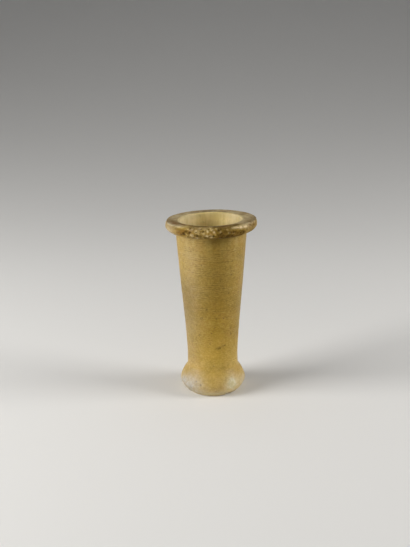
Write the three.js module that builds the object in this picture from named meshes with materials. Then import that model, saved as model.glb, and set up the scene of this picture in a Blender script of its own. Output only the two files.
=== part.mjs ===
// Kohl jar: a slender tapering vessel turned from one block of banded calcite
// (Egyptian alabaster), with a broad flat lip, a bored hollow and a flared,
// rounded foot.  Millimetres, +Z up, origin at the centre of the underside.
import * as THREE from "three";

// ---------------------------------------------------------------- sizes (mm)
const HEIGHT = 90; // underside of the foot to the flat top of the lip
const SEGMENTS = 64; // facets round the axis

// foot: a rounded swelling that turns in under itself to a flat resting face
const BASE_RADIUS = 12.9; // flat underside
const FOOT_RADIUS = 16.9; // widest part of the foot
const FOOT_WIDEST_Z = 5.5;
const FOOT_LOWER_POWER = 1.45; // how square the turn under the foot is
const FOOT_UPPER_POWER = 1.5; // how round the shoulder of the foot is
const WAIST_Z = 12.8; // where the foot meets the body
const WAIST_RADIUS = 13.05;

// body: almost straight above the foot, then an even taper outwards
const BODY = [
  // [height, outer radius]
  [16.0, 12.93],
  [20.0, 12.97],
  [26.0, 13.27],
  [36.0, 13.93],
  [48.0, 14.93],
  [60.0, 15.94],
  [72.0, 16.88],
];
const NECK_Z = 84.4; // where the lip springs from the body
const NECK_RADIUS = 17.8;

// lip: a thick disc, undercut in a curve, with a softened top edge
const LIP_RADIUS = 22.8;
const LIP_WIDEST_Z = 87.5;
const LIP_FLAT_RADIUS = 21.9; // outer limit of the flat top
const LIP_UNDER_POWER = 1.1;
const LIP_EDGE_POWER = 1.15;

// hollow: a drilled, tapering bore with a small softened edge at the mouth
const MOUTH_RADIUS = 15.4;
const MOUTH_EDGE = 0.5;
const BORE = [
  // [height, inner radius], from the mouth down
  [84.0, 15.1],
  [72.0, 13.95],
  [60.0, 12.85],
  [48.0, 11.65],
  [36.0, 10.4],
  [26.0, 9.35],
];
const BORE_END_Z = 19; // the wall starts to round into the floor here
const BORE_END_RADIUS = 8.7;
const FLOOR_Z = 10; // thickness of stone under the hollow

// ------------------------------------------------------------------ profiles
// A quarter of a superellipse from (r0, z0) to (r1, z1), leaving the first end
// along z when alongFirst is true and along r when it is false.
function quarter(r0, z0, r1, z1, power, steps, alongFirst) {
  const pts = [];
  for (let i = 1; i <= steps; i++) {
    const a = (i / steps) * (Math.PI / 2);
    const s = Math.pow(Math.sin(a), power);
    const c = 1 - Math.pow(Math.cos(a), power);
    const [u, w] = alongFirst ? [c, s] : [s, c];
    pts.push([r0 + (r1 - r0) * u, z0 + (z1 - z0) * w]);
  }
  return pts;
}

function outerProfile() {
  return [
    [BASE_RADIUS, 0],
    ...quarter(
      BASE_RADIUS,
      0,
      FOOT_RADIUS,
      FOOT_WIDEST_Z,
      FOOT_LOWER_POWER,
      6,
      false,
    ),
    ...quarter(
      FOOT_RADIUS,
      FOOT_WIDEST_Z,
      WAIST_RADIUS,
      WAIST_Z,
      FOOT_UPPER_POWER,
      7,
      true,
    ),
    ...BODY.map(([z, r]) => [r, z]),
    [NECK_RADIUS, NECK_Z],
    ...quarter(
      NECK_RADIUS,
      NECK_Z,
      LIP_RADIUS,
      LIP_WIDEST_Z,
      LIP_UNDER_POWER,
      6,
      false,
    ),
    ...quarter(
      LIP_RADIUS,
      LIP_WIDEST_Z,
      LIP_FLAT_RADIUS,
      HEIGHT,
      LIP_EDGE_POWER,
      5,
      true,
    ),
  ];
}

function innerProfile() {
  return [
    [MOUTH_RADIUS + MOUTH_EDGE, HEIGHT],
    ...quarter(
      MOUTH_RADIUS + MOUTH_EDGE,
      HEIGHT,
      MOUTH_RADIUS,
      HEIGHT - 2 * MOUTH_EDGE,
      1,
      3,
      false,
    ),
    ...BORE.map(([z, r]) => [r, z]),
    [BORE_END_RADIUS, BORE_END_Z],
    ...quarter(BORE_END_RADIUS, BORE_END_Z, 0, FLOOR_Z, 1, 6, true).slice(0, 5),
    [0, FLOOR_Z],
  ];
}

// The closed section is turned about Y and then stood up, so that the axis of
// the jar is along +Z.
function turned() {
  const section = [[0, 0], ...outerProfile(), ...innerProfile()];
  const points = section.map(([r, z]) => new THREE.Vector2(r, z));
  const geometry = new THREE.LatheGeometry(points, SEGMENTS);
  geometry.rotateX(Math.PI / 2);
  return geometry;
}

// --------------------------------------------------------------------- model
const calcite = new THREE.MeshStandardMaterial({
  color: 0xb99e66,
  roughness: 0.5,
  metalness: 0,
});

const jar = new THREE.Mesh(turned(), calcite);
jar.name = "jar";

const kohlJar = new THREE.Group();
kohlJar.add(jar);

export default kohlJar;
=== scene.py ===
"""Looks of a small kohl jar, turned from one block of banded calcite: a slender
tapering body, a broad flat lip that is worn and pitted at the front, an open
drilled hollow and a flared, rounded foot.  Shapes are worked in millimetres
and written to the meshes in metres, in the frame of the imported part: +Z up,
the origin at the centre of the underside, -Y towards the photograph's camera.
"""

import math

import bpy
import numpy as np
from mathutils import Matrix, Vector


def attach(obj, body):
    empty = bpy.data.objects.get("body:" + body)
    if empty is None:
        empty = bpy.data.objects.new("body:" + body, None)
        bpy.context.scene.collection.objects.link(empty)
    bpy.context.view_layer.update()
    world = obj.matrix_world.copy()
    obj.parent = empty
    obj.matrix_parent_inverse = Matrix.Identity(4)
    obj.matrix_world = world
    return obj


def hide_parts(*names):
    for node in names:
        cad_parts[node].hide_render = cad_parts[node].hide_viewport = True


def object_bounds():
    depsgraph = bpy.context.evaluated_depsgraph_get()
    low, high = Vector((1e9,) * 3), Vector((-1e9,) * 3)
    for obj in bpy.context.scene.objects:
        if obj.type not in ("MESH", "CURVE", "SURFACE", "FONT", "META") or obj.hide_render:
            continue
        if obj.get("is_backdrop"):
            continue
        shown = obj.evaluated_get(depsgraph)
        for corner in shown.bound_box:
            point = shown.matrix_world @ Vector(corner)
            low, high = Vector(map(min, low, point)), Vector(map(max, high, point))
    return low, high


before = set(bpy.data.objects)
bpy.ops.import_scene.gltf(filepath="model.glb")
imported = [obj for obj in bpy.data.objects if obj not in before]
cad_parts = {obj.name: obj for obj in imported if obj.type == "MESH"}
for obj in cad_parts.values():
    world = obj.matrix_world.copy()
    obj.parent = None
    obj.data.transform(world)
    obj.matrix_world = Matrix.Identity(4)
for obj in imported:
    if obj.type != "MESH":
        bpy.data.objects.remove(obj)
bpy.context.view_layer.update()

MM = 0.001
DEG = math.pi / 180.0

# ---------------------------------------------------------------- dimensions
HEIGHT = 90.0
BASE_R = 12.84
FOOT_R, FOOT_Z = 16.90, 5.57
FOOT_LOW_POWER, FOOT_UP_POWER = 1.466, 1.508
WAIST_Z, WAIST_R = 12.79, 13.09
BODY_Z = [WAIST_Z, 19.0, 26.0, 36.0, 48.0, 60.0, 72.0, 84.3]
BODY_R = [WAIST_R, 12.96, 13.28, 13.92, 14.93, 15.95, 16.88, 17.80]
LIP_R, LIP_Z = 22.78, 87.5
LIP_FLAT_R = 22.2
LIP_UNDER_POWER, LIP_EDGE_POWER = 1.10, 1.25
LIP_TILT = 0.888 * DEG  # the lip's plane is a little higher on the +X side
MOUTH_R = 15.2
BORE_Z = [89.4, 84.0, 72.0, 60.0, 48.0, 36.0, 26.0, 19.0]
BORE_R = [15.2, 15.0, 13.95, 12.85, 11.65, 10.40, 9.35, 8.70]
FLOOR_Z = 10.0

COLS_BASE, COLS_BODY, COLS_LIP, COLS_IN, COLS_DEEP = 160, 320, 640, 320, 160


# --------------------------------------------------------------------- noise
def _hash(i, j, k, seed):
    """A 32-bit hash of lattice points."""
    h = (i.astype(np.int64) & 0xFFFFFFFF).astype(np.uint64) * np.uint64(0x8DA6B343)
    h ^= (j.astype(np.int64) & 0xFFFFFFFF).astype(np.uint64) * np.uint64(0xD8163841)
    h ^= (k.astype(np.int64) & 0xFFFFFFFF).astype(np.uint64) * np.uint64(0xCB1AB31F)
    h ^= np.uint64((seed * 0x9E3779B1) & 0xFFFFFFFF)
    h &= np.uint64(0xFFFFFFFF)
    h ^= h >> np.uint64(13)
    h = (h * np.uint64(0x5BD1E995)) & np.uint64(0xFFFFFFFF)
    h ^= h >> np.uint64(15)
    h = (h * np.uint64(0x27D4EB2D)) & np.uint64(0xFFFFFFFF)
    h ^= h >> np.uint64(16)
    return h


def _unit(h, shift):
    """A number from 0 to 1 out of some bits of a hash."""
    return ((h >> np.uint64(shift)) & np.uint64(0x3FF)).astype(float) / 1023.0


def gradient_noise(p, seed=0):
    """Smooth noise from about -1 to 1 at points p, with features about 1 wide."""
    base = np.floor(p)
    f = p - base
    u = f * f * f * (f * (f * 6 - 15) + 10)
    out = np.zeros(len(p))
    for dx in (0, 1):
        for dy in (0, 1):
            for dz in (0, 1):
                h = _hash(base[:, 0] + dx, base[:, 1] + dy, base[:, 2] + dz, seed)
                gx, gy, gz = (_unit(h, s) * 2 - 1 for s in (0, 10, 20))
                dot = gx * (f[:, 0] - dx) + gy * (f[:, 1] - dy) + gz * (f[:, 2] - dz)
                w = (
                    (u[:, 0] if dx else 1 - u[:, 0])
                    * (u[:, 1] if dy else 1 - u[:, 1])
                    * (u[:, 2] if dz else 1 - u[:, 2])
                )
                out += w * dot
    return out * 1.6


def layered(p, seed=0, octaves=4, gain=0.5):
    """Several octaves of gradient noise."""
    out, amp, total = np.zeros(len(p)), 1.0, 0.0
    for o in range(octaves):
        out += amp * gradient_noise(p * 2.0**o + 17.3 * o, seed + o)
        total += amp
        amp *= gain
    return out / total


def cells(p, seed=0):
    """Distance to the nearest scattered point, one to a cell, and its hash."""
    base = np.floor(p)
    best = np.full(len(p), 1e9)
    who = np.zeros(len(p), np.uint64)
    for dx in (-1, 0, 1):
        for dy in (-1, 0, 1):
            for dz in (-1, 0, 1):
                c = base + (dx, dy, dz)
                h = _hash(c[:, 0], c[:, 1], c[:, 2], seed)
                q = c + np.stack([_unit(h, 0), _unit(h, 10), _unit(h, 20)], 1)
                d = np.linalg.norm(q - p, axis=1)
                near = d < best
                best = np.where(near, d, best)
                who = np.where(near, h, who)
    return best, who


def step(a, b, x):
    """0 below a, 1 above b, smooth between."""
    t = np.clip((x - a) / (b - a), 0.0, 1.0)
    return t * t * (3 - 2 * t)


def hump(x, centre, width):
    """A bell 1 high at centre, falling off over width."""
    return np.exp(-(((x - centre) / width) ** 2))


def span(x, a, b, soft):
    """1 from a to b, with soft ends."""
    return step(a - soft, a + soft, x) * (1 - step(b - soft, b + soft, x))


# ------------------------------------------------------------------- profile
def cubic(xs, ys, q):
    """Shape-preserving cubic through (xs, ys), read at q."""
    x, y = np.array(xs, float), np.array(ys, float)
    h, d = np.diff(x), np.diff(y) / np.diff(x)
    m = np.empty(len(x))
    m[0], m[-1] = d[0], d[-1]
    for i in range(1, len(x) - 1):
        if d[i - 1] * d[i] <= 0:
            m[i] = 0.0
        else:
            w1, w2 = 2 * h[i] + h[i - 1], h[i] + 2 * h[i - 1]
            m[i] = (w1 + w2) / (w1 / d[i - 1] + w2 / d[i])
    k = np.clip(np.searchsorted(x, q) - 1, 0, len(h) - 1)
    t = (q - x[k]) / h[k]
    return (
        (2 * t**3 - 3 * t**2 + 1) * y[k]
        + (t**3 - 2 * t**2 + t) * h[k] * m[k]
        + (-2 * t**3 + 3 * t**2) * y[k + 1]
        + (t**3 - t**2) * h[k] * m[k + 1]
    )


def softened(points, sigma_mm, pitch):
    """A polyline of even pitch, run through a bell filter that keeps its ends."""
    n = max(1, int(round(3 * sigma_mm / pitch)))
    k = np.exp(-0.5 * (np.arange(-n, n + 1) * pitch / sigma_mm) ** 2)
    k /= k.sum()
    padded = np.pad(points, ((n, n), (0, 0)), mode="reflect", reflect_type="odd")
    return np.stack([np.convolve(padded[:, c], k, "valid") for c in (0, 1)], 1)


def even(points, pitch):
    """A polyline resampled to an even pitch."""
    s = np.r_[0, np.cumsum(np.linalg.norm(np.diff(points, axis=0), axis=1))]
    q = np.linspace(0, s[-1], int(round(s[-1] / pitch)) + 1)
    return np.stack([np.interp(q, s, points[:, c]) for c in (0, 1)], 1)


def outer_section():
    """(r, z) from the edge of the flat underside up to the widest of the lip."""
    a = np.linspace(0, math.pi / 2, 240)
    low = np.stack(
        [
            BASE_R + (FOOT_R - BASE_R) * np.sin(a) ** FOOT_LOW_POWER,
            FOOT_Z * (1 - np.cos(a).clip(0) ** FOOT_LOW_POWER),
        ],
        1,
    )
    up = np.stack(
        [
            WAIST_R + (FOOT_R - WAIST_R) * np.cos(a).clip(0) ** FOOT_UP_POWER,
            FOOT_Z + (WAIST_Z - FOOT_Z) * np.sin(a) ** FOOT_UP_POWER,
        ],
        1,
    )
    z = np.linspace(WAIST_Z, BODY_Z[-1], 900)
    body = np.stack([cubic(BODY_Z, BODY_R, z), z], 1)
    under = np.stack(
        [
            BODY_R[-1] + (LIP_R - BODY_R[-1]) * np.sin(a) ** LIP_UNDER_POWER,
            BODY_Z[-1]
            + (LIP_Z - BODY_Z[-1]) * (1 - np.cos(a).clip(0) ** LIP_UNDER_POWER),
        ],
        1,
    )
    pitch = 0.05
    line = even(np.concatenate([low, up[1:], body[1:], under[1:]]), pitch)
    fine, broad = softened(line, 0.16, pitch), softened(line, 0.95, pitch)
    w = hump(line[:, 1], WAIST_Z, 2.2)[:, None]
    return even(fine * (1 - w) + broad * w, pitch)


def inner_section():
    """(r, z) from just under the mouth's edge down to the axis at the floor."""
    z = np.linspace(BORE_Z[0], BORE_Z[-1], 700)
    wall = np.stack([cubic(BORE_Z[::-1], BORE_R[::-1], z), z], 1)
    a = np.linspace(0, math.pi / 2, 200)
    bowl = np.stack(
        [
            BORE_R[-1] * np.cos(a).clip(0),
            BORE_Z[-1] - (BORE_Z[-1] - FLOOR_Z) * np.sin(a),
        ],
        1,
    )
    return even(np.concatenate([wall, bowl[1:]]), 0.05)


def worn_front(az):
    """How far the front of the lip is worn back, from 0 to 1."""
    d = az / DEG
    return span(d, -58, 20, 20) + 0.50 * span(d, 20, 64, 15)


def flat_limit(az):
    """How far out the flat of the lip's top reaches."""
    ragged = 0.12 * np.cos(5 * az + 1.0) + 0.08 * np.cos(9 * az + 2.0)
    return LIP_FLAT_R - 3.75 * worn_front(az) - ragged


def mouth_edge(az):
    """How far the edge of the mouth is rounded off."""
    d = az / DEG
    return 0.5 + 0.8 * span(d, -150, -48, 18) + 0.25 * span(d, 70, 150, 20)


# ---------------------------------------------------------------------- rows
rows = []  # each: columns, r, z, zone, and place along the section for the map
ZONES = {"base": 0, "outer": 1, "edge": 2, "flat": 3, "mouth": 4, "bore": 5, "floor": 6}


def azimuths(n):
    """Azimuths of n columns: 0 towards -Y, growing towards +X, the seam at +Y.
    They are closer together in front, where the surface has more in it."""
    u = np.arange(n) / n - 0.5
    return 2 * math.pi * u - 0.38 * np.sin(2 * math.pi * u)


def add_row(n, r, z, zone, s):
    one = np.ones(n)
    rows.append({"n": n, "r": r * one, "z": z * one, "zone": ZONES[zone], "s": s})


outer = outer_section()
outer_s = np.r_[0, np.cumsum(np.linalg.norm(np.diff(outer, axis=0), axis=1))]
inner = inner_section()
inner_s = np.r_[0, np.cumsum(np.linalg.norm(np.diff(inner, axis=0), axis=1))]


def at(section, lengths, s):
    return np.interp(s, lengths, section[:, 0]), np.interp(s, lengths, section[:, 1])


def outer_at_z(z):
    """Place along the outer section at height z, above the foot's widest."""
    up = outer[:, 1] >= FOOT_Z
    return float(np.interp(z, outer[up, 1], outer_s[up]))


def spread(a, b, pitch):
    """Places from a up to b, without b, about pitch apart."""
    return np.linspace(a, b, max(1, int(round((b - a) / pitch))) + 1)[:-1]


for r in (2.0, 4.4, 6.8, 9.0, 10.8, 12.0):
    add_row(COLS_BASE, r, 0.0, "base", r)
s_waist, s_neck = outer_at_z(15.5), outer_at_z(83.6)
s_end = outer_s[-1]
for s in np.r_[spread(0, s_waist, 0.48), spread(s_waist, s_neck, 0.74)]:
    r, z = at(outer, outer_s, s)
    add_row(COLS_BODY, r, z, "outer", s)
for s in spread(s_neck, s_end, 0.22):
    r, z = at(outer, outer_s, s)
    add_row(COLS_LIP, r, z, "outer", s)
lip_az = azimuths(COLS_LIP)
limit, edge = flat_limit(lip_az), mouth_edge(lip_az)
EDGE_ROWS, FLAT_ROWS = 24, 8
for i in range(EDGE_ROWS + 1):
    a = (i / EDGE_ROWS) * math.pi / 2
    power = LIP_EDGE_POWER - 0.13 * worn_front(lip_az)
    r = limit + (LIP_R - limit) * max(math.cos(a), 0.0) ** power
    z = LIP_Z + (HEIGHT - LIP_Z) * math.sin(a) ** power
    add_row(COLS_LIP, r, z, "edge", s_end + 3.4 * i / EDGE_ROWS)
for i in range(1, FLAT_ROWS):
    t = i / FLAT_ROWS
    r = limit + (MOUTH_R + edge - limit) * t
    add_row(COLS_LIP, r, HEIGHT, "flat", s_end + 3.4 + 6.0 * t)
for i in range(5):
    a = (i / 4) * math.pi / 2
    r = MOUTH_R + edge * (1 - math.sin(a))
    z = HEIGHT - edge * (1 - math.cos(a))
    add_row(COLS_LIP, r, z, "mouth", s_end + 9.4 + 0.3 * i)
for s in np.r_[spread(1.9, 8.0, 0.7), spread(8.0, 12.0, 1.0)]:
    r, z = at(inner, inner_s, s)
    add_row(COLS_IN, r, z, "bore", s)
s_bowl = float(np.interp(-BORE_Z[-1], -inner[:, 1], inner_s))
for s in spread(12.0, s_bowl, 2.4):
    r, z = at(inner, inner_s, s)
    add_row(COLS_DEEP, r, z, "bore", s)
for s in spread(s_bowl, inner_s[-1] - 1.2, 1.4):
    r, z = at(inner, inner_s, s)
    add_row(COLS_DEEP, r, z, "floor", s)

# ------------------------------------------------------ vertices and triangles
starts, count = [], 1  # vertex 0 is the centre of the underside
for row in rows:
    starts.append(count)
    count += row["n"]
count += 1  # the last vertex is the middle of the hollow's floor

R = np.zeros(count)
Z = np.zeros(count)
AZ = np.zeros(count)
ZONE = np.zeros(count, int)
for row, k in zip(rows, starts):
    e = k + row["n"]
    R[k:e], Z[k:e], AZ[k:e], ZONE[k:e] = row["r"], row["z"], azimuths(row["n"]), row["zone"]
Z[-1], ZONE[-1] = FLOOR_Z, ZONES["floor"]

faces, face_rows = [], []  # and for each corner, its row and column for the map


def face(corners, where):
    faces.append(corners)
    face_rows.append(where)


n0 = rows[0]["n"]
for j in range(n0):
    face(
        (0, starts[0] + (j + 1) % n0, starts[0] + j),
        ((-1, j + 0.5), (0, j + 1), (0, j)),
    )
for i in range(len(rows) - 1):
    n, m, a, b = rows[i]["n"], rows[i + 1]["n"], starts[i], starts[i + 1]
    if n == m:
        for j in range(n):
            k = (j + 1) % n
            face(
                (a + j, a + k, b + k, b + j),
                ((i, j), (i, j + 1), (i + 1, j + 1), (i + 1, j)),
            )
    elif m == 2 * n:
        for j in range(n):
            k, c = (j + 1) % n, 2 * j
            face((a + j, b + c + 1, b + c), ((i, j), (i + 1, c + 1), (i + 1, c)))
            face((a + j, a + k, b + c + 1), ((i, j), (i, j + 1), (i + 1, c + 1)))
            face(
                (a + k, b + (c + 2) % m, b + c + 1),
                ((i, j + 1), (i + 1, c + 2), (i + 1, c + 1)),
            )
    else:
        for j in range(m):
            k, c = (j + 1) % m, 2 * j
            face((a + c, a + c + 1, b + j), ((i, c), (i, c + 1), (i + 1, j)))
            face((a + c + 1, b + k, b + j), ((i, c + 1), (i + 1, j + 1), (i + 1, j)))
            face(
                (a + c + 1, a + (c + 2) % n, b + k),
                ((i, c + 1), (i, c + 2), (i + 1, j + 1)),
            )
last = len(rows) - 1
nl = rows[last]["n"]
for j in range(nl):
    face(
        (starts[last] + j, starts[last] + (j + 1) % nl, count - 1),
        ((last, j), (last, j + 1), (last + 1, j + 0.5)),
    )


def places(r, z, az):
    return np.stack([r * np.sin(az), -r * np.cos(az), z], 1)


def vertex_normals(p):
    tri = []
    for f in faces:
        tri.append(f[:3])
        if len(f) == 4:
            tri.append((f[0], f[2], f[3]))
    tri = np.array(tri)
    n = np.cross(p[tri[:, 1]] - p[tri[:, 0]], p[tri[:, 2]] - p[tri[:, 0]])
    out = np.zeros_like(p)
    for c in range(3):
        np.add.at(out, tri[:, c], n)
    return out / np.maximum(np.linalg.norm(out, axis=1), 1e-12)[:, None]


# ------------------------------------------------------------- worn surface
deg = AZ / DEG
on_outer = ZONE == ZONES["outer"]
on_edge = ZONE == ZONES["edge"]
on_flat = ZONE == ZONES["flat"]
on_mouth = ZONE == ZONES["mouth"]
on_bore = (ZONE == ZONES["bore"]) | (ZONE == ZONES["floor"])
on_base = ZONE == ZONES["base"]
wall = (on_outer & (Z < 84.2)).astype(float)
lip = ((on_outer & (Z >= 84.2)) | on_edge).astype(float)

# turned by hand, so not quite round
R = R * (
    1
    + (0.0028 * np.cos(2 * AZ + 0.7) + 0.0018 * np.cos(3 * AZ - 1.1)) * (wall + 0.5 * lip)
)
P = places(R, Z, AZ)
N = vertex_normals(P)
push = np.zeros(count)  # along the normal, in mm

# slow unevenness of the body and foot, drawn out round the axis
ring = np.stack([P[:, 0] / 9.0, P[:, 1] / 9.0, Z / 2.1], 1)
push += wall * (
    0.055 * gradient_noise(P / 13.0, 3)
    + 0.022 * gradient_noise(P / 4.2, 5)
    + 0.030 * gradient_noise(ring, 7)
)
# the lip, softer and less even than the body
rough_lip = span(deg, -60, 62, 12)
push += lip * (0.4 + 0.6 * rough_lip) * (
    0.09 * gradient_noise(P / 6.5, 11) + 0.05 * gradient_noise(P / 2.6, 12)
)
push += on_flat * (
    0.05 * gradient_noise(P / 5.0, 13) + 0.025 * gradient_noise(P / 1.8, 14)
)
weathered = layered(P / 0.95, 16, 3)
push += (lip * (0.35 + 0.65 * rough_lip) + 0.7 * on_flat) * 0.045 * weathered
push += on_mouth * 0.05 * gradient_noise(P / 2.2, 15)
# drilling rings in the hollow
push += on_bore * (
    0.05 * np.sin(Z * 2.6 + 1.5 * gradient_noise(P / 6.0, 21))
    + 0.04 * gradient_noise(P / 3.0, 22)
)

# the crust: a pitted, lumpy band on the front of the lip
crust_az = 0.12 + 0.88 * span(deg, -38, 47, 6) + 0.40 * span(deg, 47, 84, 8)
crust_az = crust_az + 0.30 * span(deg, 128, 168, 12) + 0.25 * span(deg, -160, -122, 12)
ragged = 0.5 + 0.5 * gradient_noise(P / 3.1, 31)
climbs = span(deg, -37, 3, 5)
height_mask = step(84.4, 85.3, Z) * (1 - (0.8 - 0.6 * climbs) * step(89.55, 89.97, Z))
crust = np.clip(crust_az * (0.60 + 0.9 * ragged), 0, 1) * (
    lip * height_mask + 0.65 * climbs * on_flat * step(17.4, 19.0, R)
)
bent = P + 0.42 * np.stack([gradient_noise(P / 0.95, s) for s in (45, 46, 47)], 1)
d1, h1 = cells(bent / (1.75, 1.75, 1.40), 41)
d2, h2 = cells(bent / 0.85 + 5.0, 42)
wide1 = 0.26 + 0.30 * _unit(h1, 15)
wide2 = 0.30 + 0.28 * _unit(h2, 15)
pit1 = step(0.0, 1.0, 1 - d1 / wide1) * (_unit(h1, 5) < 0.60)
pit2 = step(0.0, 1.0, 1 - d2 / wide2) * (_unit(h2, 5) < 0.45)
lump = layered(P / 1.25, 43, 3)
ridges = 1 - 2.2 * np.abs(gradient_noise(bent / 1.15, 48))
pits = np.clip(pit1 + 0.55 * pit2, 0, 1)
push += crust * (
    0.24 * lump
    + 0.09 * ridges
    + 0.10 * layered(P / 0.5, 44, 2)
    - (0.16 + 0.60 * wide1) * pit1
    - (0.04 + 0.34 * wide2) * pit2
)

# single marks: azimuth, height, radius across, depth, darkness
MARKS = [
    (-35.8, 87, 0.95, 0.62, 1.00),  # the notch under the lip
    (-39.8, 86.4, 0.70, 0.28, 0.60),
    (-32, 88.5, 0.80, 0.12, 0.45),
    (-26.8, 88.2, 0.85, 0.22, 0.85),
    (-13.5, 89.6, 0.45, 0.20, 0.80),
    (-9.8, 89, 0.50, 0.24, 0.85),
    (-17, 86.7, 0.62, 0.34, 1.00),
    (-3.5, 89.6, 0.45, 0.22, 0.85),
    (-12.2, 86.7, 0.50, 0.18, 0.55),
    (-7.8, 85.7, 0.70, 0.20, 0.60),
    (3, 86.4, 0.60, 0.28, 0.90),
    (9.5, 89.2, 0.70, 0.22, 0.80),
    (21, 86.1, 0.90, 0.22, 0.80),
    (26.8, 85.9, 0.70, 0.18, 0.70),
    (30.5, 87.9, 0.50, 0.16, 0.70),
    (38.8, 86.9, 0.55, 0.22, 0.80),
    (44.5, 86.7, 0.50, 0.22, 0.90),
    (59.5, 89.3, 0.55, 0.20, 0.80),
    (66.5, 88.7, 0.45, 0.14, 0.60),
    (64.2, 87.7, 0.35, 0.10, 0.50),
    (32.5, 55.8, 0.42, 0.13, 0.68),
    (-10.2, 47.7, 0.40, 0.12, 0.58),
    (14.8, 26.2, 0.42, 0.12, 0.54),
    (5.8, 68.7, 0.36, 0.10, 0.43),
    (-37.5, 53.6, 0.38, 0.10, 0.47),
    (15.2, 62.1, 0.34, 0.08, 0.43),
    (8, 42, 0.34, 0.10, 0.43),
    (39.5, 36.1, 0.36, 0.10, 0.43),
    (-46.2, 40.4, 0.34, 0.10, 0.40),
    (-24, 42, 0.36, 0.10, 0.47),
    (-28.2, 33, 0.36, 0.10, 0.47),
    (-32, 8.4, 0.45, 0.16, 0.68),
    (-22.2, 7.3, 0.45, 0.16, 0.66),
    (28, 27.3, 0.36, 0.10, 0.43),
    (112, 61, 0.40, 0.12, 0.50),
    (156, 33, 0.38, 0.12, 0.47),
    (-128, 70, 0.42, 0.12, 0.50),
    (-96, 24, 0.36, 0.10, 0.43),
    (-168, 48, 0.45, 0.12, 0.50),
]
dark = np.zeros(count)
front = (on_outer | on_edge).nonzero()[0]
for az, z, across, depth, darkness in MARKS:
    near = front[
        np.argmin(
            (((deg[front] - az + 180) % 360 - 180) * R[front] * DEG) ** 2
            + (Z[front] - z) ** 2
        )
    ]
    d = np.linalg.norm(P - P[near], axis=1) * (
        1 + 0.35 * gradient_noise(P / 0.9, 51)
    )
    g = np.exp(-((d / across) ** 2)) * (~on_bore)
    push -= depth * g
    dark = np.maximum(dark, np.minimum(1.25 * darkness * g, 1.0) * step(0.10, 0.35, g))

# pale lumps and streaks of the lip, and painted highlights along its upper edges:
# azimuth, height, reach round, reach up, how proud, how pale
LUMPS_AND_HIGHLIGHTS = [
    (-69.0, 89.75, 2.6, 0.36, 0.00, 0.50),
    (-62.0, 89.7, 2.6, 0.40, 0.00, 0.40),
    (-49.0, 89.65, 2.4, 0.42, 0.00, 0.66),
    (-41.0, 89.55, 1.4, 0.40, 0.05, 0.42),
    (-33.0, 89.4, 0.9, 0.45, 0.08, 0.25),
    (-25.5, 89.1, 0.8, 0.6, 0.12, 0.55),
    (-24.2, 86.9, 1.0, 0.75, 0.12, 0.60),
    (-19.5, 88.8, 0.8, 0.5, 0.12, 0.70),
    (-15.5, 89.55, 0.9, 0.35, 0.08, 0.60),
    (-15.8, 88.5, 0.5, 0.4, 0.08, 0.50),
    (-17.8, 85.6, 0.9, 0.5, 0.12, 0.70),
    (-8.0, 89.6, 0.9, 0.35, 0.06, 0.36),
    (-8.5, 87.5, 0.6, 0.5, 0.12, 0.40),
    (-4.8, 86.9, 0.8, 0.6, 0.16, 0.75),
    (-4.5, 88.9, 0.6, 0.5, 0.10, 0.70),
    (0.5, 89.5, 1.0, 0.42, 0.08, 0.70),
    (-0.8, 87.4, 0.6, 0.5, 0.10, 0.50),
    (0.4, 86.2, 0.9, 0.6, 0.14, 0.78),
    (3.5, 88.5, 0.6, 0.5, 0.12, 0.70),
    (8.0, 89.6, 0.8, 0.32, 0.05, 0.28),
    (11.2, 88.5, 0.6, 0.5, 0.12, 0.42),
    (20.8, 89.2, 0.5, 0.5, 0.10, 0.40),
    (22.2, 87.7, 0.6, 0.5, 0.12, 0.38),
    (28.2, 87.3, 0.5, 0.4, 0.12, 0.42),
    (32.0, 89.55, 1.8, 0.36, 0.03, 0.85),
    (36.8, 89.50, 1.9, 0.48, 0.02, 1.00),
    (41.0, 89.35, 2.6, 0.66, 0.02, 1.00),
    (49.0, 89.28, 2.6, 0.76, 0.00, 1.00),
    (45.0, 89.7, 2.4, 0.34, 0.00, 0.62),
    (53.0, 89.7, 2.2, 0.36, 0.00, 0.62),
    (60.0, 89.65, 2.2, 0.42, 0.00, 0.74),
    (68.0, 89.6, 2.0, 0.40, 0.00, 0.55),
    (-65.0, 87.8, 0.5, 1.6, 0.00, 0.40),
    (-72.0, 87.6, 0.6, 1.8, 0.00, 0.40),
    (-68.0, 87.5, 5.0, 2.4, 0.00, 0.30),
    (70.0, 87.2, 0.6, 1.5, 0.00, 0.15),
]
pale_lumps_and_highlight = np.zeros(count)
uneven = np.clip(0.80 + 0.75 * gradient_noise(P / 0.85, 54), 0.2, 1.0)
for az, z, reach_round, reach_up, proud, pale_by in LUMPS_AND_HIGHLIGHTS:
    round_mm = ((deg - az + 180) % 360 - 180) * R * DEG
    warp = 1 + 0.25 * gradient_noise(P / 0.8, 52)
    g = np.exp(-((round_mm / reach_round) ** 2 + ((Z - z) / reach_up) ** 2) * warp) * lip
    push += proud * g
    pale_lumps_and_highlight = np.maximum(pale_lumps_and_highlight, pale_by * g * uneven)

# a short slanting scratch low on the front
for (a0, z0), (a1, z1), depth in (((7.5, 26.1), (28.0, 27.4), 0.07), ((11.0, 25.6), (17.0, 25.9), 0.06)):
    ends = [np.array([13.3 * math.sin(a * DEG), -13.3 * math.cos(a * DEG), z]) for a, z in ((a0, z0), (a1, z1))]
    along = ends[1] - ends[0]
    t = np.clip(((P - ends[0]) @ along) / (along @ along), 0, 1)
    d = np.linalg.norm(P - ends[0] - t[:, None] * along, axis=1)
    g = np.exp(-((d / 0.45) ** 2)) * (Z < 40) * wall
    push -= depth * g
    dark = np.maximum(dark, 0.62 * g)

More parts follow.
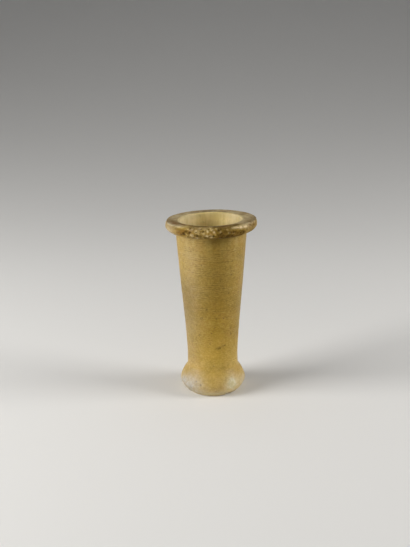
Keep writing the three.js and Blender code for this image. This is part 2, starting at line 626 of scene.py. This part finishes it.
# reddish brown patches of the lip: azimuth, height, distance from the axis,
# reach round, reach across, strength
RUST = [
    (-68.0, 90.0, 19.6, 4.0, 1.3, 1.00),
    (-48.0, 90.0, 17.2, 3.6, 1.0, 0.50),
    (-26.8, 88.4, 21.8, 1.3, 0.9, 0.85),
    (0.5, 87.9, 22.4, 1.0, 0.7, 0.65),
    (58.0, 89.2, 22.0, 1.8, 1.0, 0.60),
    (67.0, 88.4, 22.5, 1.6, 1.0, 0.45),
    (118.0, 89.6, 21.6, 2.6, 1.2, 0.45),
    (-104.0, 89.8, 21.2, 3.0, 1.2, 0.40),
    (165.0, 90.0, 19.0, 3.0, 1.6, 0.35),
]
rust = np.zeros(count)
for az, z, r, reach_round, reach_across, strength in RUST:
    round_mm = ((deg - az + 180) % 360 - 180) * R * DEG
    across_mm = np.hypot(R - r, Z - z)
    warp = 1 + 0.35 * gradient_noise(P / 1.1, 53)
    g = np.exp(-((round_mm / reach_round) ** 2 + (across_mm / reach_across) ** 2) * warp)
    rust = np.maximum(rust, strength * g * (~on_bore))

# small chips: azimuth, height, radius across, depth
CHIPS = [
    (104.0, 86.4, 1.4, 0.30),
    (-118.0, 86.2, 1.7, 0.32),
    (-52.0, 1.2, 1.5, 0.30),
    (33.0, 0.9, 1.7, 0.30),
    (128.0, 1.2, 1.9, 0.40),
    (-160.0, 1.0, 1.3, 0.28),
]
fresh = np.zeros(count)
for az, z, across, depth in CHIPS:
    near = front[
        np.argmin(
            (((deg[front] - az + 180) % 360 - 180) * R[front] * DEG) ** 2
            + 4 * (Z[front] - z) ** 2
        )
    ]
    d = np.linalg.norm(P - P[near], axis=1) * (
        1 + 0.45 * gradient_noise(P / 1.6, 61) + 0.25 * gradient_noise(P / 0.7, 62)
    )
    g = step(1.25 * across, 0.35 * across, d) * (~on_bore)
    push -= depth * g
    fresh = np.maximum(fresh, g * (0.35 if z > 80 else 0.8))

# scattered pinholes in the body, and grit round the edge of the underside
d3, h3 = cells(P / 4.6 + 9.0, 71)
size3 = 0.050 + 0.05 * _unit(h3, 3)
pin = step(0.0, 1.0, 1 - d3 / size3) * (_unit(h3, 14) < 0.32) * wall
push -= 0.07 * pin
grit_zone = wall * (1 - step(1.2, 3.2, Z)) + on_base * step(11.0, 12.6, R)
grit = np.clip(layered(P / 0.85, 81, 3) * 1.7 - 0.1, 0, 1) * grit_zone
push -= 0.10 * grit

P = P + N * push[:, None]
P[:, 2] += P[:, 0] * math.tan(LIP_TILT) * step(81.0, 85.5, Z)
P[:, 2] = np.maximum(P[:, 2], 0.0)
P[on_base | (np.arange(count) == 0), 2] = 0.0

# ------------------------------------------------- what the material reads
top_face = np.maximum(
    on_flat, on_edge * step(89.35, 89.85, Z + 0.22 * gradient_noise(P / 1.9, 98))
)
stain = np.zeros(count)
from_back = (deg + 360) % 360
# the flat of the lip is stained brown in front, and pale grey-tan behind
stain += top_face * (
    0.04
    + 0.70 * hump(deg, -68, 15) * span(R, 16.2, 20.2, 0.7)
    + 0.80 * span(deg, -64, -2, 8) * (1 - step(16.3, 18.2, R))
    + 0.50 * span(deg, -38, 4, 8)
    + 1.45 * span(deg, 3, 28, 5) * step(15.9, 16.7, R)
    + 0.95 * span(deg, 28, 45, 5) * span(R, 16.8, 20.6, 0.7)
    + 0.42 * span(deg, 46, 88, 9) * step(16.6, 17.6, R)
    + 0.55 * hump(deg, 92, 12) * step(18.8, 19.8, R)
    + 0.55 * hump(from_back, 188, 18)
    + 0.35 * gradient_noise(P / 2.2, 90)
)
# the outer face of the lip: brown patches, darkest right of the middle and below
face_band = lip * (1 - top_face)
patch = (
    1.25 * hump(deg, -41, 12) * span(Z, 85.9, 89.0, 0.4)
    + 0.60 * hump(deg, -16, 5) * step(88.3, 87.6, Z)
    + 0.40 * hump(deg, -6, 5) * step(87.4, 86.4, Z)
    + 1.00 * hump(deg, 9, 6) * step(89.5, 88.8, Z)
    + 1.15 * hump(deg, 17, 6)
    + 1.25 * hump(deg, 27, 8) * step(89.2, 88.4, Z)
    + 1.45 * hump(deg, 39, 8) * step(88.5, 87.7, Z)
    + 0.60 * hump(deg, 66, 12)
    + 0.30 * hump(deg, 100, 20)
    + 0.25 * hump(deg, -120, 25)
    + 0.12
)
stain += face_band * np.clip(patch * (0.75 + 0.5 * gradient_noise(P / 2.3, 91)), 0, 1)
# painted shadow of the lip, with some grime: darker in the corner under the lip and on the body just below it,
# heaviest right of the middle
corner = np.exp(-((np.minimum(np.abs(Z - 84.9), 9.0) / 1.3) ** 2)) * (on_outer)
grime_and_lip_shadow = corner * np.clip(
    0.07
    + 0.12 * span(deg, -26, 4, 8)
    + 0.95 * span(deg, 6, 44, 7)
    + 0.20 * (np.abs(deg) > 60)
    + 0.30 * gradient_noise(P / 2.4, 92),
    0,
    1,
)
grime_and_lip_shadow = np.maximum(grime_and_lip_shadow, 0.56 * hump(Z, 82.9, 2.6) * span(deg, -6, 32, 12) * wall)
# whitish wear on the foot, partly painted sheen of the side lights
wear_and_sheen = (
    0.86 * hump(deg, -46, 27) * hump(Z, 6.2, 4.4)
    + 1.15 * hump(deg, 36, 11) * hump(Z, 6.9, 2.8)
    + 0.30 * hump(deg, 44, 24) * hump(Z, 6.6, 4.0)
    + 0.30 * hump(Z, 2.2, 2.4)
    + 0.45 * hump(deg, -72, 16) * hump(Z, 6.2, 2.6)
    + 0.45 * hump(deg, 74, 16) * hump(Z, 6.2, 2.6)
    + 0.40 * hump(from_back, 150, 30) * hump(Z, 6.4, 2.8)
    + 0.40 * hump(from_back, 220, 26) * hump(Z, 6.4, 2.8)
) * (on_outer & (Z < 20))
# painted sheen: the lit left of the body and the left end of the lip are greyed and paled; the sides and back
# of the body are a little paler
wear_and_sheen = wear_and_sheen + 0.10 * hump(deg, -60, 34) * span(Z, 12, 48, 6) * on_outer
wear_and_sheen = wear_and_sheen + 0.11 * hump(deg, -40, 26) * span(Z, 50, 84, 6) * on_outer
wear_and_sheen = wear_and_sheen + 0.07 * step(62, 100, np.abs(deg)) * span(Z, 12, 84, 6) * wall
wear_and_sheen = wear_and_sheen + 0.16 * hump(deg, -68, 14) * lip
wear_and_sheen = np.clip(
    wear_and_sheen * (1.0 + 0.26 * gradient_noise(P / 2.6, 93) + 0.16 * gradient_noise(P / 0.8, 94)), 0, 1
)
hollow = (on_bore | on_mouth).astype(float)
behind = step(62, 96, np.abs(deg))
hollow = np.maximum(hollow, on_flat * (1 - step(15.6, 17.4, R)) * (0.35 + 0.45 * behind))
hollow = np.maximum(
    hollow,
    on_flat
    * (
        0.62 * span(deg, -142, -98, 9) * (1 - step(19.2, 20.6, R))
        + 0.66 * span(deg, 122, 146, 8) * step(17.0, 18.2, R)
        + 0.40 * hump(deg, 108, 9) * step(18.4, 19.4, R)
    )
    * np.clip(0.85 + 0.8 * gradient_noise(P / 1.9, 99), 0, 1.15),
)
# painted light and shade in the stone's colour: lighter and more golden towards the foot, darker half way up,
# darker on the left and on the right at mid height and high in the front, lighter low in the front; only the
# faint noise last is the stone's own tone
tone_and_painted_light = np.interp(
    Z,
    [0, 3, 7, 12.8, 22, 33, 45, 60, 76, 84],
    [1.72, 1.60, 1.42, 1.36, 1.38, 1.12, 0.96, 0.96, 0.98, 0.96],
)
tone_and_painted_light *= 1 - 0.34 * hump(deg, -62, 38) * step(72, 52, Z) * step(9, 20, Z)
tone_and_painted_light *= 1 - 0.11 * hump(deg, 58, 34) * span(Z, 18, 56, 6)
tone_and_painted_light *= 1 - 0.17 * hump(deg, 10, 22) * step(40, 62, Z)
tone_and_painted_light *= 1 + 0.11 * hump(deg, 10, 28) * span(Z, 20, 58, 6)
tone_and_painted_light *= 1 + 0.05 * gradient_noise(P / 9.0, 95)
tone_and_painted_light = np.where(on_outer & (Z < 84.2), tone_and_painted_light, 1.0)
# painted light and shade over all the colour: the left of the foot and of the lip darker, the right of the
# foot, the front of the lip and its right upper edge lighter, the front of the flat darker, the right of the
# hollow darker and its deep back lighter
painted_shade_and_light = 1 - 0.24 * hump(deg, -58, 42) * step(17, 10, Z) * on_outer
painted_shade_and_light = painted_shade_and_light + 0.26 * hump(deg, 37, 14) * hump(Z, 7.0, 3.4) * on_outer
painted_shade_and_light = painted_shade_and_light - 0.20 * hump(deg, -72, 15) * lip
painted_shade_and_light = painted_shade_and_light + 0.12 * hump(deg, 0, 5) * lip
painted_shade_and_light = painted_shade_and_light - 0.07 * hump(deg, -58, 12) * lip
painted_shade_and_light = painted_shade_and_light + 0.18 * hump(deg, 44, 11) * hump(Z, 89.4, 0.7) * lip
painted_shade_and_light = painted_shade_and_light + 0.14 * hump(deg, 32, 11) * step(89.0, 88.2, Z) * lip
painted_shade_and_light = painted_shade_and_light + 0.08 * hump(Z, 2.0, 2.2) * hump(deg, 4, 40) * on_outer
painted_shade_and_light = painted_shade_and_light - 0.30 * span(deg, 2, 27, 5) * on_flat
painted_shade_and_light = painted_shade_and_light - 0.18 * hump(deg, -82, 14) * top_face * step(17.5, 19.0, R)
inner_wall = on_bore | on_mouth
painted_shade_and_light = painted_shade_and_light - (0.30 * hump(from_back, 92, 44) + 0.17 * hump(from_back, 146, 24)) * inner_wall
painted_shade_and_light = painted_shade_and_light + 0.38 * step(88.9, 86.5, Z) * step(112, 160, np.abs(deg)) * inner_wall
dust = on_outer * (1 - step(1.0, 5.2, Z + 0.8 * gradient_noise(P / 1.7, 96)))
turning = 0.45 + 0.55 * span(deg, -34, 46, 10) * span(Z, 40, 82, 6)
turning = np.maximum(turning, 0.8 * step(-0.1, 0.5, gradient_noise(P / 17.0, 97)))
turning = turning * (on_outer & (Z < 84.2)) * (1 - 0.6 * step(14.5, 11.5, Z))

# a warmer, deeper honey colour down the front and right of the lip's middle
honey = 0.9 * hump(deg, 12, 30) * wall * step(7, 24, Z)
honey = honey + 0.9 * span(deg, -6, 48, 8) * (lip + 0.6 * on_flat) * (
    1 - np.clip(1.8 * pale_lumps_and_highlight, 0, 1)
)
honey = honey + (0.50 * span(deg, -46, -6, 8) + 0.40 * hump(deg, -40, 9)) * (lip + on_flat) * (
    1 - np.clip(1.5 * pale_lumps_and_highlight, 0, 1)
)
honey = honey + 0.70 * hump(deg, 36, 14) * hump(Z, 6.9, 4.0) * on_outer
honey = honey + 0.42 * step(122, 165, np.abs(deg)) * inner_wall
honey = honey + 0.30 * span(deg, 34, 62, 10) * span(Z, 34, 66, 8) * wall

ATTRIBUTES = {
    "crust": crust,
    "pit": np.clip(np.maximum(crust * pits, dark) + 0.55 * pin, 0, 1),
    "lump": np.clip(0.5 + 0.5 * lump, 0, 1),
    "stain": np.clip(stain, 0, 1),
    "grime_and_lip_shadow": np.clip(grime_and_lip_shadow, 0, 1),
    "wear_and_sheen": np.clip(np.maximum(wear_and_sheen, 0.7 * fresh), 0, 1),
    "grit": grit,
    "hollow": hollow,
    "liptop": top_face,
    "tone_and_painted_light": 0.5 * tone_and_painted_light,
    "dust": dust,
    "pale_lumps_and_highlight": np.clip(pale_lumps_and_highlight, 0, 1),
    "turning": turning,
    "rust": rust,
    "painted_shade_and_light": painted_shade_and_light,
    "honey": np.clip(honey, 0, 1),
}

# ---------------------------------------------------------------------- mesh
mesh = bpy.data.meshes.new("jar_stone")
mesh.from_pydata((P * MM).tolist(), [], faces)
for name, values in ATTRIBUTES.items():
    attribute = mesh.attributes.new(name, "FLOAT", "POINT")
    attribute.data.foreach_set("value", values.astype(np.float32))

# a tidy map: outer wall, lip with the top of the hollow, deep hollow, discs
UNIT = 146.0
WALL_W, LIP_W, DEEP_W = 104.0, 126.0, 34.0
uv = mesh.uv_layers.new(name="OFBake")
coords = np.zeros((len(mesh.loops), 2), np.float32)
loop = 0
GAP = 1.2
lip_v0 = s_end + 2 * GAP
disc_v0 = lip_v0 + 24.0 + GAP
first_out = next(i for i, r in enumerate(rows) if r["zone"] == ZONES["outer"])
first_edge = next(i for i, r in enumerate(rows) if r["zone"] == ZONES["edge"])
first_deep = next(i for i, r in enumerate(rows) if r["n"] == COLS_DEEP and r["zone"] >= 5)
first_bore = next(i for i, r in enumerate(rows) if r["zone"] == ZONES["bore"])
for where in face_rows:
    top = max(w[0] for w in where)
    low = min(w[0] for w in where)
    for i, j in where:
        row = rows[i] if 0 <= i < len(rows) else None
        n = row["n"] if row else (n0 if i < 0 else nl)
        share = j / n
        a = 2 * math.pi * (share - 0.5) - 0.38 * math.sin(2 * math.pi * (share - 0.5))
        if top <= first_out:  # the underside, seen from below
            r = 0.0 if i < 0 else float(row["r"][0])
            u, v = GAP + BASE_R + r * math.sin(a), disc_v0 + BASE_R - r * math.cos(a)
        elif top <= first_edge:
            u, v = GAP + WALL_W * share, GAP + row["s"]
        elif low >= first_deep:
            s = inner_s[-1] if row is None else row["s"]
            u, v = GAP + WALL_W + GAP + DEEP_W * share, GAP + (s - 11.0) * 1.2
        else:
            s = row["s"] - s_end if i < first_bore else 10.6 + row["s"] * 0.9
            u, v = GAP + LIP_W * share, lip_v0 + s
        coords[loop] = (u / UNIT, v / UNIT)
        loop += 1
uv.data.foreach_set("uv", coords.ravel())
mesh.polygons.foreach_set("use_smooth", np.ones(len(mesh.polygons), bool))
mesh.validate()
mesh.update()
jar = bpy.data.objects.new("jar_stone", mesh)
bpy.context.scene.collection.objects.link(jar)


# ------------------------------------------------------------------ material
class Nodes:
    """Small helpers for building one material's nodes."""

    def __init__(self, name):
        self.material = bpy.data.materials.new(name)
        self.material.use_nodes = True
        self.tree = self.material.node_tree
        self.tree.nodes.clear()
        self.out = self.add("ShaderNodeOutputMaterial")
        self.shader = self.add("ShaderNodeBsdfPrincipled")
        self.link(self.shader.outputs[0], self.out.inputs[0])

    def add(self, kind):
        return self.tree.nodes.new(kind)

    def link(self, a, b):
        self.tree.links.new(a, b)

    def put(self, socket, value):
        if isinstance(value, bpy.types.NodeSocket):
            self.link(value, socket)
        elif isinstance(value, (tuple, list)) and len(value) == 3 and socket.type == "RGBA":
            socket.default_value = (*value, 1.0)
        else:
            socket.default_value = value

    def place(self, scale=(1, 1, 1)):
        if not hasattr(self, "coordinates"):
            self.coordinates = self.add("ShaderNodeTexCoord")
        if scale == (1, 1, 1):
            return self.coordinates.outputs["Object"]
        m = self.add("ShaderNodeMapping")
        m.inputs["Scale"].default_value = scale
        self.link(self.coordinates.outputs["Object"], m.inputs["Vector"])
        return m.outputs[0]

    def noise(self, scale, detail=3.0, rough=0.5, where=None, distortion=0.0):
        n = self.add("ShaderNodeTexNoise")
        self.link(where or self.place(), n.inputs["Vector"])
        n.inputs["Scale"].default_value = scale
        n.inputs["Detail"].default_value = detail
        n.inputs["Roughness"].default_value = rough
        n.inputs["Distortion"].default_value = distortion
        return n.outputs[0]

    def spots(self, scale, where=None):
        n = self.add("ShaderNodeTexVoronoi")
        self.link(where or self.place(), n.inputs["Vector"])
        n.inputs["Scale"].default_value = scale
        return n.outputs["Distance"], n.outputs["Color"]

    def ramp(self, value, a, b, low=0.0, high=1.0, smooth=True):
        n = self.add("ShaderNodeMapRange")
        n.interpolation_type = "SMOOTHSTEP" if smooth else "LINEAR"
        n.clamp = True if not smooth else n.clamp
        self.put(n.inputs["Value"], value)
        n.inputs["From Min"].default_value = a
        n.inputs["From Max"].default_value = b
        n.inputs["To Min"].default_value = low
        n.inputs["To Max"].default_value = high
        return n.outputs[0]

    def maths(self, how, a, b=0.0, clamp=False):
        n = self.add("ShaderNodeMath")
        n.operation = how
        n.use_clamp = clamp
        self.put(n.inputs[0], a)
        self.put(n.inputs[1], b)
        return n.outputs[0]

    def mix(self, share, a, b, how="MIX"):
        n = self.add("ShaderNodeMix")
        n.data_type = "RGBA"
        n.blend_type = how
        n.clamp_factor = True
        self.put(n.inputs[0], share)
        self.put(n.inputs[6], a)
        self.put(n.inputs[7], b)
        return n.outputs[2]

    def read(self, name):
        n = self.add("ShaderNodeAttribute")
        n.attribute_type = "GEOMETRY"
        n.attribute_name = name
        return n.outputs["Fac"]

    def bump(self, height, distance, strength=1.0, under=None):
        n = self.add("ShaderNodeBump")
        n.inputs["Strength"].default_value = strength
        n.inputs["Distance"].default_value = distance
        self.link(height, n.inputs["Height"])
        if under is not None:
            self.link(under, n.inputs["Normal"])
        return n.outputs[0]


def calcite():
    m = Nodes("calcite_stone")
    crust, pit, lump = m.read("crust"), m.read("pit"), m.read("lump")
    stain, grime_and_lip_shadow, wear_and_sheen = m.read("stain"), m.read("grime_and_lip_shadow"), m.read("wear_and_sheen")
    grit, hollow, liptop = m.read("grit"), m.read("hollow"), m.read("liptop")
    tone_and_painted_light, dust, pale_lumps_and_highlight = m.read("tone_and_painted_light"), m.read("dust"), m.read("pale_lumps_and_highlight")
    turning, rust, painted_shade_and_light = m.read("turning"), m.read("rust"), m.read("painted_shade_and_light")
    honey = m.read("honey")

    # the stone: ochre, with broad honey, tan and olive clouds
    broad = m.noise(52.0, 3.0, 0.55)
    clouds = m.noise(150.0, 4.0, 0.55, distortion=0.3)
    mottle = m.noise(620.0, 4.0, 0.6)
    grain = m.noise(2300.0, 3.0, 0.6)
    stone = m.mix(m.ramp(broad, 0.38, 0.62), (0.302, 0.192, 0.029), (0.332, 0.220, 0.043))
    stone = m.mix(m.ramp(clouds, 0.46, 0.68, 0.0, 0.40), stone, (0.350, 0.207, 0.058))
    stone = m.mix(m.ramp(clouds, 0.50, 0.30, 0.0, 0.42), stone, (0.238, 0.160, 0.022))
    # faint, nearly level bands in the stone
    band = m.noise(1.0, 3.0, 0.55, m.place((28.0, 28.0, 210.0)), 0.6)
    stone = m.mix(m.ramp(band, 0.52, 0.70, 0.0, 0.30), stone, (0.390, 0.275, 0.092))
    stone = m.mix(m.ramp(band, 0.48, 0.30, 0.0, 0.30), stone, (0.215, 0.135, 0.020))
    # fine turning lines, broken up, and the grain of the crystals
    split = m.add("ShaderNodeSeparateXYZ")
    m.link(m.place(), split.inputs[0])
    sway = m.noise(75.0, 3.0, 0.6)
    turns = m.maths("MULTIPLY", split.outputs["Z"], 2 * math.pi / 0.00098)
    turns = m.maths("ADD", turns, m.maths("MULTIPLY", sway, 15.0))
    wobble = m.noise(250.0, 3.0, 0.6)
    turns = m.maths("ADD", turns, m.maths("MULTIPLY", wobble, 13.0))
    ripple = m.maths("ADD", m.maths("MULTIPLY", m.maths("SINE", turns), 0.22), 0.5)
    streak = m.noise(1.0, 2.5, 0.6, m.place((190.0, 190.0, 900.0)), 0.8)
    where = m.ramp(m.noise(1.0, 2.0, 0.5, m.place((95.0, 95.0, 330.0))), 0.42, 0.60)
    lines = m.maths("ADD", m.maths("MULTIPLY", ripple, 0.55), m.maths("MULTIPLY", streak, 0.45))
    carved = m.maths("MULTIPLY", turning, where)
    deep = m.maths("MULTIPLY", m.ramp(lines, 0.48, 0.34), carved)
    proud = m.maths("MULTIPLY", m.ramp(lines, 0.52, 0.66), carved)
    stone = m.mix(m.maths("MULTIPLY", deep, 0.66), stone, (0.165, 0.100, 0.015))
    stone = m.mix(m.maths("MULTIPLY", proud, 0.46), stone, (0.430, 0.315, 0.110))
    stone = m.mix(m.ramp(mottle, 0.46, 0.32, 0.0, 0.42), stone, (0.170, 0.107, 0.015))
    stone = m.mix(m.ramp(mottle, 0.56, 0.72, 0.0, 0.36), stone, (0.430, 0.315, 0.110))
    stone = m.mix(m.ramp(grain, 0.44, 0.32, 0.0, 0.35), stone, (0.170, 0.105, 0.016))
    dapple = m.noise(950.0, 3.0, 0.6, m.place((1.0, 1.0, 1.5)))
    stone = m.mix(m.ramp(dapple, 0.52, 0.34, 0.0, 0.30), stone, (0.170, 0.106, 0.010))
    stone = m.mix(m.ramp(dapple, 0.48, 0.68, 0.0, 0.26), stone, (0.460, 0.345, 0.120))
    # pale runs down from the lip
    runs = m.noise(1.0, 3.0, 0.6, m.place((380.0, 380.0, 60.0)))
    under_lip = m.ramp(split.outputs["Z"], 0.068, 0.084, 0.0, 0.26)
    stone = m.mix(
        m.maths("MULTIPLY", under_lip, m.ramp(runs, 0.44, 0.70)), stone, (0.460, 0.370, 0.150)
    )
    # pinholes and brown flecks
    fleck_d, fleck_c = m.spots(310.0)
    fleck = m.maths(
        "MULTIPLY",
        m.ramp(fleck_d, 0.20, 0.08),
        m.ramp(fleck_c, 0.62, 0.68),
    )
    stone = m.mix(m.maths("MULTIPLY", fleck, 0.50), stone, (0.090, 0.048, 0.010))
    # painted light and shade from the tone attribute, lighter and more golden towards the foot; and dusty at
    # its very edge
    level = m.maths("MULTIPLY", tone_and_painted_light, 2.0)
    stone = m.mix(1.0, stone, level, "MULTIPLY")
    stone = m.mix(m.ramp(tone_and_painted_light, 0.52, 0.85, 0.0, 0.34), stone, (0.500, 0.370, 0.140))
    stone = m.mix(m.maths("MULTIPLY", dust, 0.55), stone, (0.560, 0.440, 0.200))

    # the hollow: pale cream, with faint streaks running down it
    inside = m.mix(m.ramp(runs, 0.35, 0.65), (0.585, 0.475, 0.230), (0.700, 0.575, 0.325))
    inside = m.mix(m.ramp(mottle, 0.45, 0.30, 0.0, 0.35), inside, (0.370, 0.290, 0.110))
    stone = m.mix(m.maths("MULTIPLY", hollow, 0.88), stone, inside)
    # the lip's top: greyer, mottled and flecked
    top = m.mix(m.ramp(m.noise(260.0, 4.0, 0.6), 0.35, 0.65), (0.280, 0.206, 0.102), (0.475, 0.388, 0.222))
    top = m.mix(m.maths("MULTIPLY", fleck, 0.60), top, (0.120, 0.075, 0.030))
    broken = m.ramp(m.noise(330.0, 4.0, 0.65), 0.36, 0.60, 0.70, 1.0)
    stone = m.mix(m.maths("MULTIPLY", liptop, broken), stone, top)
    # brown staining, broken by the mottling
    reach = m.maths("MULTIPLY", stain, m.ramp(m.noise(420.0, 4.0, 0.6), 0.30, 0.56, 0.60, 1.0))
    brown = m.mix(m.ramp(m.noise(170.0, 2.0, 0.5), 0.4, 0.62), (0.085, 0.047, 0.006), (0.150, 0.078, 0.018))
    stone = m.mix(m.maths("MULTIPLY", reach, 0.90), stone, brown)
    bared = m.ramp(stain, 0.30, 0.95, 1.0, 0.25)
    # crust: cream lumps over brown pits
    floor_of_crust = m.mix(m.ramp(mottle, 0.40, 0.60), (0.140, 0.082, 0.014), (0.270, 0.175, 0.045))
    ground = m.maths("MULTIPLY", crust, m.maths("MULTIPLY", bared, 0.55))
    stone = m.mix(ground, stone, floor_of_crust)
    cream = m.mix(m.ramp(m.noise(900.0, 3.0, 0.6), 0.35, 0.65), (0.330, 0.225, 0.080), (0.620, 0.480, 0.260))
    raised = m.maths("MULTIPLY", m.ramp(lump, 0.54, 0.72), crust)
    raised = m.maths("MULTIPLY", raised, bared)
    stone = m.mix(m.maths("MULTIPLY", raised, 0.80), stone, cream)
    # painted highlights on the lip's upper edges, and its pale lumps
    stone = m.mix(m.maths("MULTIPLY", pale_lumps_and_highlight, 0.92), stone, (0.800, 0.650, 0.385))
    stone = m.mix(m.maths("MULTIPLY", rust, 0.80), stone, (0.235, 0.118, 0.040))
    # painted shadow and grime under the lip, and pits
    stone = m.mix(m.maths("MULTIPLY", grime_and_lip_shadow, 0.85), stone, (0.085, 0.050, 0.010))
    stone = m.mix(m.maths("MULTIPLY", pit, 0.95), stone, (0.060, 0.032, 0.007))
    # pale rubbed patches and painted sheen, with grit at the very foot
    pale = m.mix(m.ramp(mottle, 0.35, 0.65), (0.372, 0.347, 0.296), (0.490, 0.480, 0.456))
    stone = m.mix(m.maths("MULTIPLY", wear_and_sheen, 0.85), stone, pale)
    stone = m.mix(m.maths("MULTIPLY", grit, 0.55), stone, (0.220, 0.150, 0.050))
    stone = m.mix(honey, stone, m.mix(1.0, stone, (1.04, 0.98, 0.55), "MULTIPLY"))
    # painted light and shade, multiplied over all the colour
    stone = m.mix(1.0, stone, painted_shade_and_light, "MULTIPLY")
    m.link(stone, m.shader.inputs["Base Color"])

    rough = m.ramp(m.noise(480.0, 3.0, 0.6), 0.30, 0.70, 0.40, 0.56)
    rough = m.maths("ADD", rough, m.maths("MULTIPLY", crust, 0.22))
    rough = m.maths("ADD", rough, m.maths("MULTIPLY", wear_and_sheen, 0.14))
    rough = m.maths("ADD", rough, m.maths("MULTIPLY", hollow, 0.14))
    rough = m.maths("ADD", rough, m.maths("MULTIPLY", liptop, 0.34))
    rough = m.maths("ADD", rough, m.maths("MULTIPLY", pit, 0.25), clamp=True)
    m.link(rough, m.shader.inputs["Roughness"])

    scores = m.maths("MULTIPLY", lines, m.maths("MULTIPLY", carved, 1.6))
    height = m.maths("ADD", scores, m.maths("MULTIPLY", mottle, 0.40))
    height = m.maths("ADD", height, m.maths("MULTIPLY", grain, 0.30))
    height = m.maths("SUBTRACT", height, m.maths("MULTIPLY", fleck, 0.60))
    normal = m.bump(height, 0.00013, 0.8)
    rubble = m.noise(1500.0, 4.0, 0.65)
    coarse = m.maths("ADD", crust, m.maths("MULTIPLY", liptop, 0.40), clamp=True)
    normal = m.bump(m.maths("MULTIPLY", rubble, coarse), 0.00060, 0.9, normal)
    m.link(normal, m.shader.inputs["Normal"])

    m.shader.inputs["IOR"].default_value = 1.5
    # soiled stone is duller than clean stone
    soiled = m.maths("MAXIMUM", m.maths("MAXIMUM", stain, grime_and_lip_shadow), pit)
    m.link(m.ramp(soiled, 0.0, 1.0, 0.25, 0.10), m.shader.inputs["Specular IOR Level"])
    m.shader.inputs["Subsurface Weight"].default_value = 0.10
    m.shader.inputs["Subsurface Radius"].default_value = (1.0, 0.62, 0.25)
    m.shader.inputs["Subsurface Scale"].default_value = 0.0012
    return m.material


jar.data.materials.append(calcite())
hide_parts("jar")
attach(jar, "root")


# --------------------------------------------------------- floor and backdrop
def backdrop():
    """A pale floor that curves up slowly, all round, into its own backdrop."""
    flat, bend = 0.35, 2.3
    profile = [(r, 0.0) for r in (0.0, 0.06, 0.16, flat)]
    for i in range(1, 25):
        a = i / 24 * 68 * DEG
        profile.append((flat + bend * math.sin(a), bend - bend * math.cos(a)))
    n = 96
    verts, quads = [(0.0, 0.0, 0.0)], []
    for r, z in profile[1:]:
        for j in range(n):
            a = 2 * math.pi * j / n
            verts.append((r * math.cos(a), r * math.sin(a), z))
    for j in range(n):
        quads.append((0, 1 + j, 1 + (j + 1) % n))
    for i in range(len(profile) - 2):
        a, b = 1 + i * n, 1 + (i + 1) * n
        for j in range(n):
            k = (j + 1) % n
            quads.append((a + j, b + j, b + k, a + k))
    data = bpy.data.meshes.new("studio_floor")
    data.from_pydata(verts, [], quads)
    data.polygons.foreach_set("use_smooth", np.ones(len(data.polygons), bool))
    data.update()
    floor = bpy.data.objects.new("studio_floor", data)
    bpy.context.scene.collection.objects.link(floor)
    m = Nodes("pale_paper")
    m.shader.inputs["Base Color"].default_value = (0.78, 0.775, 0.76, 1.0)
    m.shader.inputs["Roughness"].default_value = 0.85
    m.shader.inputs["Specular IOR Level"].default_value = 0.2
    data.materials.append(m.material)
    floor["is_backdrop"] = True


backdrop()


# -------------------------------------------------------------------- lights
def softbox(name, where, towards, size, watts, colour, spread=180.0):
    data = bpy.data.lights.new(name, "AREA")
    data.shape = "RECTANGLE"
    data.size, data.size_y = size
    data.energy = watts
    data.color = colour
    light = bpy.data.objects.new(name, data)
    light.location = where
    aim = Vector(towards) - Vector(where)
    light.rotation_mode = "QUATERNION"
    light.rotation_quaternion = aim.to_track_quat("-Z", "Y")
    data.spread = spread * DEG
    light.visible_camera = False
    bpy.context.scene.collection.objects.link(light)
    return light


MIDDLE = (0.0, 0.0, 0.05)
WARM = (1.0, 0.985, 0.96)
softbox("key_left", (-0.76, -0.24, 0.34), MIDDLE, (0.50, 0.52), 5.9, WARM, 140.0)
softbox("fill_right", (0.82, -0.12, 0.34), MIDDLE, (0.42, 0.52), 3.7, WARM, 140.0)
softbox("top_soft", (0.0, 0.25, 1.9), MIDDLE, (1.6, 1.6), 4.0, (1.0, 0.99, 0.98))

world = bpy.data.worlds.new("studio_air")
world.use_nodes = True
world.node_tree.nodes["Background"].inputs["Color"].default_value = (0.95, 0.97, 1.0, 1.0)
world.node_tree.nodes["Background"].inputs["Strength"].default_value = 0.06
bpy.context.scene.world = world
bpy.context.scene.view_settings.view_transform = "Standard"
bpy.context.scene.view_settings.look = "None"

# -------------------------------------------------------------------- camera
PITCH, YAW, ROLL = 16.593 * DEG, -0.656 * DEG, 0.829 * DEG
forward = Vector(
    (
        math.sin(YAW) * math.cos(PITCH),
        math.cos(YAW) * math.cos(PITCH),
        -math.sin(PITCH),
    )
)
right = Vector((math.cos(YAW), -math.sin(YAW), 0.0))
up = right.cross(forward)
right_rolled = right * math.cos(ROLL) - up * math.sin(ROLL)
up_rolled = right * math.sin(ROLL) + up * math.cos(ROLL)
camera_data = bpy.data.cameras.new("camera")
camera_data.lens = 52.65
camera_data.sensor_width = 36.0
camera_data.clip_start, camera_data.clip_end = 0.02, 10.0
camera = bpy.data.objects.new("camera", camera_data)
camera.matrix_world = Matrix(
    (
        (right_rolled.x, up_rolled.x, -forward.x, 1.02 * MM),
        (right_rolled.y, up_rolled.y, -forward.y, -388.594 * MM),
        (right_rolled.z, up_rolled.z, -forward.z, 177.534 * MM),
        (0, 0, 0, 1),
    )
)
bpy.context.scene.collection.objects.link(camera)
bpy.context.scene.camera = camera

low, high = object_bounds()
